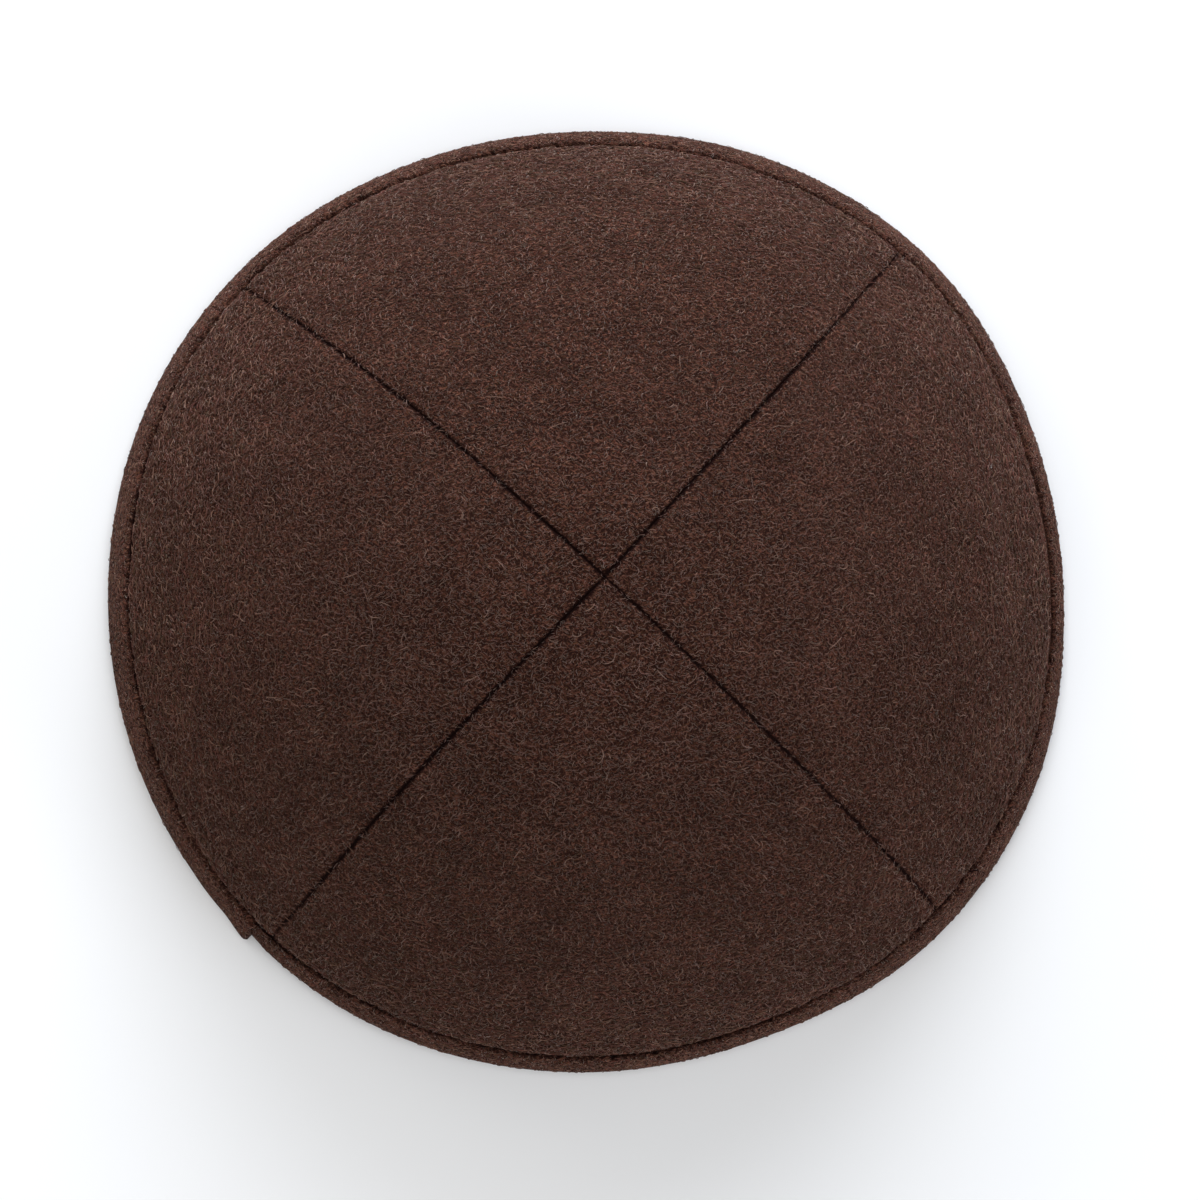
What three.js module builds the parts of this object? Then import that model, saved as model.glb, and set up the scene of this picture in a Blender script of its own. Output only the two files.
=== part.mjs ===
// A round skullcap of boiled wool. Four gored panels are sewn into the crown, and a tape of the same
// wool is folded round their raw edge, with its ends lapped beside the seam of the front and left panels.
// Millimetres, +Z up. The cap rests on the fold of its band at z = 0, its rim centred on the origin.
// Directions are degrees, anticlockwise from +X as seen from above.

import * as THREE from "three";
import { mergeVertices } from "three/addons/utils/BufferGeometryUtils.js";

// Size of the cap
const rimAcross = 170; // mean width over the band
const capHeight = 50; // from the surface it rests on to the top of the crown
const wall = 1.6; // thickness of a panel
const clearance = 0.3; // air between layers of cloth that lie together

// Seams between the panels
const allowanceWidth = 6; // seam allowance, turned in flat against the inside
const allowanceThickness = 1.4;
const allowanceBevel = 0.4; // width over which its cut edge slopes
const ditchWidth = 1.8; // each panel curves down to its seam over this width
const ditchDepth = 0.6;
const tipRadius = 0.6; // the points of the panels stop this far from the crossing
const seamSwing = 1.6; // most that a seam swings round, anticlockwise, before it meets the band
const swingStart = 0.35; // share of the way down from the crossing at which the seams begin to swing round

// Band
const tape = 1; // thickness of the tape
const bandWidth = 5; // mean width of the outer leg, up the slope from the fold
const innerLeg = 5; // width of the leg inside the cap
const foldRise = 0.9; // height over which each side of the fold curves under
const lapLength = 10; // stretch over which the ends lie on each other
const lapTape = 0.7; // thickness of each end there, pressed by the stitching
const lapRamp = 7; // stretch over which an end rises onto, or comes out from under, the other
const lapDirection = 225; // where the upper end stops
const tipRound = 1.6; // how far the corners of that end are rounded back

// Dips of the soft crown, just above the band
const dipDepth = 1.2;
const dipLength = 30; // half the length of a dip, along the rim
const dipWidth = 9; // half its width, up the slope

const wool = { color: 0x402c26, roughness: 0.95, metalness: 0 };

// Seams: direction at the crossing, and the share of seamSwing by which each swings round.
const seams = {
  backRight: { direction: 48.3, swing: 0.5 },
  backLeft: { direction: 138, swing: 1 },
  frontLeft: { direction: 226.8, swing: 0.8 },
  frontRight: { direction: 318, swing: 0.45 },
};

// Each panel lies between two seams, taken anticlockwise.
const panels = [
  { name: "panel_right", from: seams.frontRight, to: seams.backRight },
  { name: "panel_back", from: seams.backRight, to: seams.backLeft },
  { name: "panel_left", from: seams.backLeft, to: seams.frontLeft },
  { name: "panel_front", from: seams.frontLeft, to: seams.frontRight },
];

// Reach of the rim, as a share of its mean radius, at even steps of direction.
const outline = [
  { direction: 0, share: 0.998 },
  { direction: 22.5, share: 1.0 },
  { direction: 45, share: 1.016 },
  { direction: 67.5, share: 1.004 },
  { direction: 90, share: 0.985 },
  { direction: 112.5, share: 0.988 },
  { direction: 135, share: 1.003 },
  { direction: 157.5, share: 1.009 },
  { direction: 180, share: 1.006 },
  { direction: 202.5, share: 1.006 },
  { direction: 225, share: 1.005 },
  { direction: 247.5, share: 0.998 },
  { direction: 270, share: 0.99 },
  { direction: 292.5, share: 0.987 },
  { direction: 315, share: 1.013 },
  { direction: 337.5, share: 1.015 },
];

// Width of the band's outer leg, as a share of its mean, at even steps of direction.
const bandWidths = [
  { direction: 0, share: 0.75 },
  { direction: 22.5, share: 1.0 },
  { direction: 45, share: 1.2 },
  { direction: 67.5, share: 1.28 },
  { direction: 90, share: 1.0 },
  { direction: 112.5, share: 0.98 },
  { direction: 135, share: 1.0 },
  { direction: 157.5, share: 1.2 },
  { direction: 180, share: 1.38 },
  { direction: 202.5, share: 1.28 },
  { direction: 225, share: 0.96 },
  { direction: 247.5, share: 1.0 },
  { direction: 270, share: 0.9 },
  { direction: 292.5, share: 0.88 },
  { direction: 315, share: 1.25 },
  { direction: 337.5, share: 1.2 },
];

// Dips: direction, height above the band as a share of dipWidth, and shares of the three dip sizes.
const dips = [
  { direction: 6, above: 1.1, length: 0.85, width: 1.0, depth: 1.0 },
  { direction: 213, above: 0.6, length: 0.55, width: 0.55, depth: 0.7 },
];

const fullTurn = 360;
const panelSpans = 12; // columns between a panel's two seam allowances
const panelRows = 9; // rows from the band to the point
const bandSpans = 84; // columns round the band, apart from its lap
const marginShare = 0.45; // most that each allowance takes of a panel's width, near its point
const tiny = 1e-6;

// The panels' outer face is part of a sphere. The band's outer face lies a tape and a clearance outside it.
const rimRadius = rimAcross / 2;
const bandStand = clearance + tape;
const bandTop = capHeight + bandStand;
const domeRadius = (rimRadius ** 2 + bandTop ** 2) / (2 * bandTop) - bandStand;
const domeCentre = capHeight - domeRadius;
const edgeHeight = Math.max(2 * (lapTape + clearance), tape + clearance);

function toDegrees(length, radius) {
  return THREE.MathUtils.radToDeg(length / radius);
}

function mix(a, b, share) {
  return a + (b - a) * share;
}

// Rises smoothly from 0 to 1.
function ease(share) {
  return THREE.MathUtils.smoothstep(share, 0, 1);
}

// Falls smoothly from 1 in the middle to 0 at -1 and 1.
function bell(share) {
  return Math.abs(share) < 1 ? Math.cos((share * Math.PI) / 2) ** 2 : 0;
}

// Reads a table of even steps of direction along a smooth closed curve.
function shareAt(table, direction) {
  const step = fullTurn / table.length;
  const place = THREE.MathUtils.euclideanModulo(direction, fullTurn) / step;
  const first = Math.floor(place);
  const along = place - first;
  const shares = [-1, 0, 1, 2].map((next) => table[(first + next + table.length) % table.length].share);
  const [a, b, c, d] = shares;
  const slopeB = (c - a) / 2;
  const slopeC = (d - b) / 2;
  const bend = 2 * (b - c) + slopeB + slopeC;
  return b + slopeB * along + (3 * (c - b) - 2 * slopeB - slopeC) * along ** 2 + bend * along ** 3;
}

// A point of the crown, `slant` radians down from its top and `depth` inside the panels' outer face.
function onDome(direction, slant, depth) {
  const reach = (shareAt(outline, direction) * domeRadius - depth) * Math.sin(slant);
  const angle = THREE.MathUtils.degToRad(direction);
  const height = domeCentre + (domeRadius - depth) * Math.cos(slant);
  return new THREE.Vector3(reach * Math.cos(angle), reach * Math.sin(angle), height);
}

function slantAtHeight(height, depth) {
  return Math.acos((height - domeCentre) / (domeRadius - depth));
}

// A closed sheet of cloth. `place` gives the point for each column and row, on its outer or inner face.
function clothSheet(columns, rows, place) {
  const slab = new THREE.BoxGeometry(columns, rows, 1, columns, rows, 1);
  slab.deleteAttribute("normal");
  slab.deleteAttribute("uv");
  const sheet = mergeVertices(slab);
  const corners = sheet.getAttribute("position");
  for (let i = 0; i < corners.count; i++) {
    const column = Math.round(corners.getX(i) + columns / 2);
    const row = Math.round(corners.getY(i) + rows / 2);
    const point = place(column, row, corners.getZ(i) > 0);
    corners.setXYZ(i, point.x, point.y, point.z);
  }
  sheet.computeVertexNormals();
  return sheet;
}

// Slant at the raw edge of the panels, whose inner corner is its lowest, and the rise above it of the band.
const edgeSlant = slantAtHeight(edgeHeight, wall);
const innerLegSlant = slantAtHeight(0, wall + bandStand) - innerLeg / domeRadius;
const bandRise = Math.max((edgeSlant - innerLegSlant) * domeRadius + clearance, clearance);

// The shorter way round from one direction to another.
function turnBetween(first, second) {
  return THREE.MathUtils.euclideanModulo(second - first + fullTurn / 2, fullTurn) - fullTurn / 2;
}

// Direction of a seam at the given slant.
function seamDirection(seam, slant) {
  const swung = seam.swing * seamSwing * ease((slant / edgeSlant - swingStart) / (1 - swingStart));
  return seam.direction + toDegrees(swung, domeRadius * Math.sin(slant));
}

function dipAt(direction, rise) {
  let depth = 0;
  for (const dip of dips) {
    const along = THREE.MathUtils.degToRad(turnBetween(dip.direction, direction)) * rimRadius;
    const halfWidth = dip.width * dipWidth;
    const up = rise - bandRise - dip.above * dipWidth;
    depth += dip.depth * dipDepth * bell(along / (dip.length * dipLength)) * bell(up / halfWidth);
  }
  return depth;
}

// Distances across a panel of the given width: close steps by each seam, even ones between the allowances.
function panelColumns(width) {
  const margin = allowanceWidth + allowanceBevel;
  const squeeze = Math.min(1, (marginShare * width) / margin);
  const nearSeam = [0, ditchWidth / 3, ditchWidth, allowanceWidth].map((distance) => distance * squeeze);
  const between = [];
  for (let i = 0; i <= panelSpans; i++) {
    between.push(mix(margin * squeeze, width - margin * squeeze, i / panelSpans));
  }
  const farSeam = nearSeam.map((distance) => width - distance).reverse();
  return [...nearSeam, ...between, ...farSeam];
}

// One gore of the crown: a wall of wool whose seam allowances are turned in.
function crownPanel(from, to) {
  const rises = [0, bandRise];
  const lastRise = edgeSlant * domeRadius - tipRadius;
  for (let i = 0; i <= panelRows; i++) {
    rises.push(mix(bandRise + allowanceBevel, lastRise, i / panelRows));
  }
  const columns = panelColumns(1).length - 1;
  return clothSheet(columns, rises.length - 1, (column, row, outer) => {
    const slant = edgeSlant - rises[row] / domeRadius;
    const reach = domeRadius * Math.sin(slant);
    const seamGap = THREE.MathUtils.radToDeg(Math.asin(clearance / 2 / reach));
    const start = seamDirection(from, slant) + seamGap;
    const turn = THREE.MathUtils.euclideanModulo(seamDirection(to, slant) - seamGap - start, fullTurn);
    const width = THREE.MathUtils.degToRad(turn) * reach;
    const across = panelColumns(width)[column];
    const fromSeam = Math.min(across, width - across);
    const direction = start + toDegrees(across, reach);
    const dip = dipAt(direction, rises[row]);
    if (outer) {
      const ditch = ditchDepth * Math.max(0, 1 - fromSeam / ditchWidth) ** 2;
      return onDome(direction, slant, dip + ditch);
    }
    const doubled = row > 1 && fromSeam < allowanceWidth + tiny;
    return onDome(direction, slant, dip + wall + (doubled ? allowanceThickness : 0));
  });
}

// Directions round the band, close together where an end lies over or under the other.
function bandDirections(lap, ramp) {
  const outOfLap = lapDirection + ramp;
  const intoLap = lapDirection + fullTurn - lap - ramp;
  const directions = [lapDirection - lap, lapDirection - lap / 2, lapDirection, lapDirection + ramp / 2];
  for (let i = 0; i <= bandSpans; i++) {
    directions.push(mix(outOfLap, intoLap, i / bandSpans));
  }
  const end = lapDirection + fullTurn;
  return [...directions, intoLap + ramp / 2, end - lap, end - lap / 2, end];
}

// The tape, folded round the raw edge. It starts under its own end, goes once round and ends over its start.
function rimBand() {
  const lap = toDegrees(lapLength, rimRadius);
  const ramp = toDegrees(lapRamp, rimRadius);
  const directions = bandDirections(lap, ramp);
  const end = directions.at(-1);
  // Rows run from the top of the inner leg, under the fold and up to the top of the outer leg.
  const rows = [
    { leg: "inner", up: 1, corner: 1 },
    { leg: "inner", up: 0.5, corner: 0.3 },
    { leg: "inner", up: 0, corner: 0 },
    { leg: "inner", under: true, corner: 0 },
    { leg: "outer", under: true, corner: 0 },
    { leg: "outer", up: 0, corner: 0 },
    { leg: "outer", up: 0.5, corner: 0.2 },
    { leg: "outer", up: 0.85, corner: 0.6 },
    { leg: "outer", up: 1, corner: 1 },
  ];
  return clothSheet(directions.length - 1, rows.length - 1, (column, rowIndex, outer) => {
    const row = rows[rowIndex];
    const station = directions[column];
    const isLast = column === directions.length - 1;
    const direction = station - (isLast ? toDegrees(tipRound, rimRadius) * row.corner : 0);
    const under = 1 - ease((station - lapDirection) / ramp);
    const over = ease((station - (end - lap - ramp)) / ramp);
    const thickness = mix(tape, lapTape, Math.max(under, over));
    const floor = under * (lapTape + clearance);
    const stand = clearance + over * (lapTape + clearance) + (outer ? thickness : 0);
    const depth = row.leg === "inner" ? wall + stand : -stand;
    const foot = outer ? floor : floor + thickness;
    const inset = (outer ? foldRise : clearance) * (row.leg === "inner" ? -1 : 1);
    if (row.under) {
      return onDome(direction, slantAtHeight(foot, depth + inset), depth + inset);
    }
    const legWidth = row.leg === "inner" ? innerLeg : bandWidth * shareAt(bandWidths, direction);
    const footSlant = slantAtHeight(foot + (outer ? foldRise : clearance), depth);
    const topSlant = slantAtHeight(0, depth) - legWidth / domeRadius;
    return onDome(direction, mix(footSlant, topSlant, row.up), depth);
  });
}

function woolMesh(name, geometry) {
  const mesh = new THREE.Mesh(geometry, new THREE.MeshStandardMaterial(wool));
  mesh.name = name;
  return mesh;
}

const cap = new THREE.Group();
for (const panel of panels) {
  cap.add(woolMesh(panel.name, crownPanel(panel.from, panel.to)));
}
cap.add(woolMesh("rim_band", rimBand()));

// The rim isn't quite round, so the middle of its box is brought over the origin.
const middle = new THREE.Box3().setFromObject(cap).getCenter(new THREE.Vector3());
cap.position.set(-middle.x, -middle.y, 0);

export default cap;
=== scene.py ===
"""A round skullcap of dark brown boiled wool, lying on its rim: four sewn panels and a stitched band.

Metres, +Z up. Directions are degrees, anticlockwise from +X as seen from above. A slant is the angle in
radians down from the top of the crown, and a rise is a length up the slope from the panels' raw edge.
"""

import math

import bmesh
import bpy
import numpy as np
from mathutils import Matrix, Vector


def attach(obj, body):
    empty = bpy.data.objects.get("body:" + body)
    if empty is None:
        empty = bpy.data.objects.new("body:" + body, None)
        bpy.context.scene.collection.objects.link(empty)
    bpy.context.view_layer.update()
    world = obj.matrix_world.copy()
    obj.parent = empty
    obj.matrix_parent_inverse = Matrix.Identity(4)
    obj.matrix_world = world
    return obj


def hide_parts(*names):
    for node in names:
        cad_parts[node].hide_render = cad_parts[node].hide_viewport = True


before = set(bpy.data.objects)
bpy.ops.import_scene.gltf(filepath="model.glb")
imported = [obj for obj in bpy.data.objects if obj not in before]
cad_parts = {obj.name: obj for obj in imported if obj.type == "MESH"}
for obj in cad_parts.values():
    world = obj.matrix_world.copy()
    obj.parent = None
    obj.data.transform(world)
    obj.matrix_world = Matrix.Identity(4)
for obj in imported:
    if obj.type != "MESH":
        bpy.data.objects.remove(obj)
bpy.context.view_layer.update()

MM = 0.001

# Size of the cap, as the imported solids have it
RIM_RADIUS = 85 * MM
CAP_HEIGHT = 50 * MM
WALL = 1.6 * MM
LAYER_GAP = 0.3 * MM
TAPE = 1.0 * MM
BAND_WIDTH = 5 * MM
INNER_LEG = 5 * MM
LAP_LENGTH = 10 * MM
LAP_TAPE = 0.7 * MM
LAP_RAMP = 7 * MM
LAP_DIRECTION = 225
ALLOWANCE_WIDTH = 6 * MM
ALLOWANCE_THICKNESS = 1.4 * MM
DIP_DEPTH = 1.2 * MM
DIP_LENGTH = 30 * MM
DIP_WIDTH = 9 * MM

FULL_TURN = 360
# Panels, with the rows of SEAMS at their start and stop
PANELS = {"panel_right": (3, 0), "panel_back": (0, 1), "panel_left": (1, 2), "panel_front": (2, 3)}
# Reach of the rim and width of the band at steps of 22.5 degrees, as shares of the mean
OUTLINE = (
    0.998, 1.0, 1.016, 1.004, 0.985, 0.988, 1.003, 1.009,
    1.006, 1.006, 1.005, 0.998, 0.99, 0.987, 1.013, 1.015,
)
BAND_WIDTHS = (0.75, 1.0, 1.2, 1.28, 1.0, 0.98, 1.0, 1.2, 1.38, 1.28, 0.96, 1.0, 0.9, 0.88, 1.25, 1.2)
# Dips above the band: direction, height as a share of DIP_WIDTH, and shares of the three dip sizes
DIPS = ((6, 1.1, 0.85, 1.0, 1.0), (213, 0.6, 0.55, 0.55, 0.7))
RIM_WIDEST = 0.9 * MM  # height of the line on which the tape stands out furthest
RIM_STEP = 0.5  # degrees between the points by which the rim's box is centred

# Seams and stitches

# Direction at the crossing, swing anticlockwise by the band, strength of the line's groove and painted shade,
# and the lengths over which it closes at the crossing and fades above the band
SEAMS = (
    (48.3, 0.8 * MM, 1.4, 0.3 * MM, 36 * MM),
    (138, 1.6 * MM, 1.35, 2.0 * MM, 20 * MM),
    (226.8, 1.28 * MM, 1.45, 0.3 * MM, 26 * MM),
    (318, 0.72 * MM, 1.25, 1.6 * MM, 12 * MM),
)
SWING_START = 0.35  # share of the way down from the crossing at which the seams begin to swing
SEAM_CLOSED = 0.4  # share of a seam's strength where it closes at the crossing
SEAM_FADED = 0.74  # and where it fades above the band
SEAM_GAP = 0.02 * MM
KNOT_SIZE = 0.9 * MM  # the spot where all four seams meet, dark with their full groove and painted shade
SEAM_ROLL = 2.4 * MM  # width over which a panel rolls down to its seam
SEAM_ROLL_DEPTH = 0.18 * MM
SEAM_LINE = 0.45 * MM  # half width of the sharp line itself
SEAM_LINE_DEPTH = 0.2 * MM
# Width from a seam over which the painted shade of its line fades out
SEAM_SHADE_REACH = 0.85 * MM
LINE_SHADE_REACH = (0.45 * MM, 1.8 * MM)  # of the band line's painted shade up the crown, where the line is faint and where strong
STITCH_PITCH = 2.0 * MM
PIT_LENGTH = 0.45 * MM
BAND_DITCH = 0.8 * MM  # width of the dent that the band's stitching pulls into the panels
BAND_DITCH_DEPTH = 0.15 * MM
BAND_SWELL = 0.5 * MM  # height of the soft swell above the band's stitching, and how far above
BAND_SWELL_AT = 1.1 * MM
BAND_SWELL_FADE = 9 * MM
SWELL_START = 0.15  # share of the swell's climb that is already made at the line
SWELL_LEAST = 0.3  # share of the swell that stays where the line is faint
EDGE_WAVER = 0.25 * MM
EDGE_WAVES = ((23, 0), (37, 1), (61, 2))  # waves in a full turn, and where each begins
# Strength of the band's stitched line at steps of 22.5 degrees: its painted shade, and how deep its ditch,
# swell and stitches are
LINE_STRENGTH = (0.3, 0.28, 0.6, 0.6, 0.3, 0.25, 0.5, 0.85, 1.05, 0.74, 0.62, 0.76, 0.8, 0.64, 0.86, 0.5)
# The upper end of the band hides the line: degrees before the lap, reach in degrees, and the share hidden
COVERED_AT = 12
COVERED_REACH = 10
COVERED_SHARE = 0.6
# Shade under the upper end's tip: degrees past the lap, reach in degrees, and the share added
TIP_SHADE_AT = 1
TIP_SHADE_REACH = 2.5
TIP_SHADE = 0.8

# Soft lumps of the wool: depth, size and seed
LUMPS = ((0.22 * MM, 26 * MM, 1), (0.06 * MM, 8 * MM, 2))
LUMPS_ABOVE_BAND = 3 * MM  # they reach their full depth over these lengths above the band and from a seam
LUMPS_FROM_SEAM = 2 * MM
LUMPS_AT_SEAM = 0.3
WAVES = 9  # that make up the lumps, each finer or coarser than their size by a share in this range
WAVE_RANGE = (0.6, 1.4)

# Wool fibres

FIBRES_PER_PANEL = (13500, 8000)  # short ones with a single bend, and longer curled ones
FIBRE_KNOTS = (3, 4)  # points along a short fibre and a longer one
FIBRE_CROWDING = (0.85, 1.5)  # power that crowds them towards the band where it is above 1
FIBRES_ON_BAND = 10000
BAND_LENGTH_CHANGE = 1.45
BAND_BEND = 0.8
BAND_SQUEEZE = 0.5  # spread of the band's fibres across it, as a share of that along it
BAND_LIFT = 0.09 * MM
LOOSE_FIBRES = 480
LOOSE_KNOTS = 7
LOOSE_BEND = 0.45
LOOSE_LIFT = (0.2 * MM, 0.45 * MM)
LOOSE_TONES = (0.74, 0.95)
FIBRE_LENGTH = (0.6 * MM, 1.4 * MM)
LONG_FIBRE = (1.0 * MM, 2.4 * MM)
LOOSE_LENGTH = (1.6 * MM, 3.6 * MM)
FIBRE_WIDTH = (0.08 * MM, 0.14 * MM)
FIBRE_LIFT = (0.02 * MM, 0.2 * MM)
LENGTH_CHANGE = (0.65, 1.5)  # of the fibres' lengths, from the crossing to the band
LIFT_CHANGE = (1, 1.8)
WIDTH_CHANGE = (0.88, 1.35)
BAND_WIDTH_CHANGE = 1.2
FIBRE_BEND = (0.35, 1.2)  # radians from point to point, from the crossing to the band
TUCK_DEPTH = 0.05 * MM  # how far the ends lie inside the cloth
TUCKED = 0.75  # share of the fibres with both ends tucked in
CROSS_LINE = 0.3  # share of the fibres that may lie across a seam, and share that may cross the band's line
WEFT_BIAS = 0.78  # how much the fibres keep to the X direction on the crown: 1 is no bias
SIDE_BIAS = 1.5  # and by the band at either side, where they keep more to the Y direction
SEED = 7

# Thread end at the band's line: direction, and mm of drop below the line and of height above the crown
THREAD_END = (
    (324.1, 0, 0.2), (324.6, -0.3, 0.7), (325.0, -0.1, 1.1), (325.25, 0.5, 1.3), (325.6, 0.8, 1.3),
)
THREAD_WIDTH = 0.3 * MM

BAND_STAND = LAYER_GAP + TAPE
BAND_TOP = CAP_HEIGHT + BAND_STAND
DOME = (RIM_RADIUS**2 + BAND_TOP**2) / (2 * BAND_TOP) - BAND_STAND
DOME_CENTRE = CAP_HEIGHT - DOME
EDGE_HEIGHT = max(2 * (LAP_TAPE + LAYER_GAP), BAND_STAND)


def mix(a, b, share):
    """Goes from a to b as the share goes from 0 to 1."""
    return a + (b - a) * share


def ease(share):
    """Climbs smoothly from 0 to 1, and stays level outside."""
    share = np.clip(share, 0, 1)
    return share * share * (3 - 2 * share)


def bell(share):
    """A smooth hump, 1 at 0 and nothing past 1 to either side."""
    return np.where(np.abs(share) < 1, np.cos(np.clip(share, -1, 1) * math.pi / 2) ** 2, 0)


def share_at(shares, direction):
    """Reads a table of even steps of direction along a smooth closed curve."""
    place = np.mod(direction, FULL_TURN) / (FULL_TURN / len(shares))
    first = np.floor(place).astype(int)
    along = place - first
    a, b, c, d = (np.take(shares, (first + k) % len(shares)) for k in (-1, 0, 1, 2))
    slope_b = (c - a) / 2
    slope_c = (d - b) / 2
    bend = 2 * (b - c) + slope_b + slope_c
    return b + slope_b * along + (3 * (c - b) - 2 * slope_b - slope_c) * along**2 + bend * along**3


def around_axis(direction, slant, depth):
    """Points of the crown, depth inside the panels' outer face, before the rim's box is centred."""
    reach = (share_at(OUTLINE, direction) * DOME - depth) * np.sin(slant)
    angle = np.radians(direction)
    height = DOME_CENTRE + (DOME - depth) * np.cos(slant)
    return np.stack(np.broadcast_arrays(reach * np.cos(angle), reach * np.sin(angle), height), axis=-1)


def slant_at_height(height, depth):
    """Slant at which the face at this depth has the given height."""
    return np.arccos((height - DOME_CENTRE) / (DOME - depth))


def middle_of_rim():
    directions = np.arange(0, FULL_TURN, RIM_STEP)
    rim = around_axis(directions, slant_at_height(RIM_WIDEST, -BAND_STAND), -BAND_STAND)
    middle = (rim.min(axis=0) + rim.max(axis=0)) / 2
    return middle * (1, 1, 0)


RIM_MIDDLE = middle_of_rim()
EDGE_SLANT = float(slant_at_height(EDGE_HEIGHT, WALL))
INNER_LEG_SLANT = float(slant_at_height(0, WALL + BAND_STAND)) - INNER_LEG / DOME
BAND_RISE = (EDGE_SLANT - INNER_LEG_SLANT) * DOME + LAYER_GAP
CROWN_RISE = EDGE_SLANT * DOME


def on_dome(direction, slant, depth):
    return around_axis(direction, slant, depth) - RIM_MIDDLE


def band_line(direction):
    """Rise of the top edge of the band's outer leg."""
    top_slant = float(slant_at_height(0, -LAYER_GAP)) - BAND_WIDTH * share_at(BAND_WIDTHS, direction) / DOME
    waver = sum(np.sin(np.radians(direction) * waves + start) for waves, start in EDGE_WAVES)
    return (EDGE_SLANT - top_slant) * DOME + waver * EDGE_WAVER / len(EDGE_WAVES)


def line_strength(direction):
    """Strength of the band's stitched line, in painted shade and in depth, which shows little where the upper
    end lies over it.
    """
    covered = bell(turn_between(LAP_DIRECTION - COVERED_AT, direction) / COVERED_REACH)
    return share_at(LINE_STRENGTH, direction) * (1 - COVERED_SHARE * covered)


def turn_between(first, second):
    """Degrees from the first direction to the second, -180 to 180."""
    return np.mod(second - first + FULL_TURN / 2, FULL_TURN) - FULL_TURN / 2


def dip_at(direction, rise):
    """Depth of the two dips above the band."""
    depth = 0
    for at, above, length, width, share in DIPS:
        along = np.radians(turn_between(at, direction)) * RIM_RADIUS
        up = rise - BAND_RISE - above * DIP_WIDTH
        lengthways = bell(along / (length * DIP_LENGTH))
        depth = depth + share * DIP_DEPTH * lengthways * bell(up / (width * DIP_WIDTH))
    return depth


def soft_waves(points, size, seed):
    """A soft unevenness of the given size at each point, about -1 to 1."""
    rng = np.random.default_rng(seed)
    total = 0
    for _ in range(WAVES):
        way = rng.normal(0, 1, 3)
        way *= 2 * math.pi / size * rng.uniform(*WAVE_RANGE) / np.linalg.norm(way)
        total = total + np.sin(points @ way + rng.uniform(0, 2 * math.pi))
    return total / 4


def seam_direction(seam, slant):
    """Direction of a seam, which swings to one side on its way down."""
    direction, swing = SEAMS[seam][:2]
    swung = swing * ease((slant / EDGE_SLANT - SWING_START) / (1 - SWING_START))
    return direction + np.degrees(swung / (DOME * np.sin(slant)))


def panel_edges(panel, slant):
    """Directions of the two seams of a panel at the given slant."""
    first, last = PANELS[panel]
    start, stop = seam_direction(first, slant), seam_direction(last, slant)
    return start - FULL_TURN * (SEAMS[first][0] > SEAMS[last][0]), stop


def seam_values(panel, from_start, from_stop, rise, above):
    """Distance from the nearer seam of a panel, and the strength of that seam's line here."""
    from_seam = np.maximum(np.minimum(from_start, from_stop), 0)
    nearer = np.where(from_start < from_stop, PANELS[panel][0], PANELS[panel][1])
    strength, closing, fading = (np.array([s[k] for s in SEAMS])[nearer] for k in (2, 3, 4))
    from_crossing = CROWN_RISE - rise
    open_here = np.maximum(ease(from_crossing / closing), 1 - ease(from_crossing / KNOT_SIZE))
    strength = strength * mix(SEAM_CLOSED, 1, open_here) * mix(SEAM_FADED, 1, ease(above / fading))
    return from_seam, strength


def crown_depth(direction, rise, from_seam, strength):
    """Depth of the outer face of the wool below the plain dome."""
    above = rise - band_line(direction)
    roll = SEAM_ROLL_DEPTH * np.clip(1 - from_seam / SEAM_ROLL, 0, 1) ** 2
    line = SEAM_LINE_DEPTH * np.clip(1 - from_seam / SEAM_LINE, 0, 1) ** 1.5
    ditch = BAND_DITCH_DEPTH * line_strength(direction) * np.clip(1 - above / BAND_DITCH, 0, 1) ** 2
    climb = ease(above / BAND_SWELL_AT + SWELL_START)
    swell = BAND_SWELL * climb * (1 - ease((above - BAND_SWELL_AT) / BAND_SWELL_FADE))
    swell = swell * mix(SWELL_LEAST, 1, line_strength(direction))
    points = around_axis(direction, EDGE_SLANT - rise / DOME, 0)
    lumps = sum(depth * soft_waves(points, size, seed) for depth, size, seed in LUMPS)
    lumps = lumps * ease(above / LUMPS_ABOVE_BAND) * mix(LUMPS_AT_SEAM, 1, ease(from_seam / LUMPS_FROM_SEAM))
    return dip_at(direction, rise) + (roll + line) * strength + ditch - swell + lumps


# Meshes

CUT_ANGLE = math.radians(55)  # the cloth's faces meet at a sharp edge where they turn by more
SIDES_APART = 0.01  # of the flat grids from which a sheet is made, before each corner is placed


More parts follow.
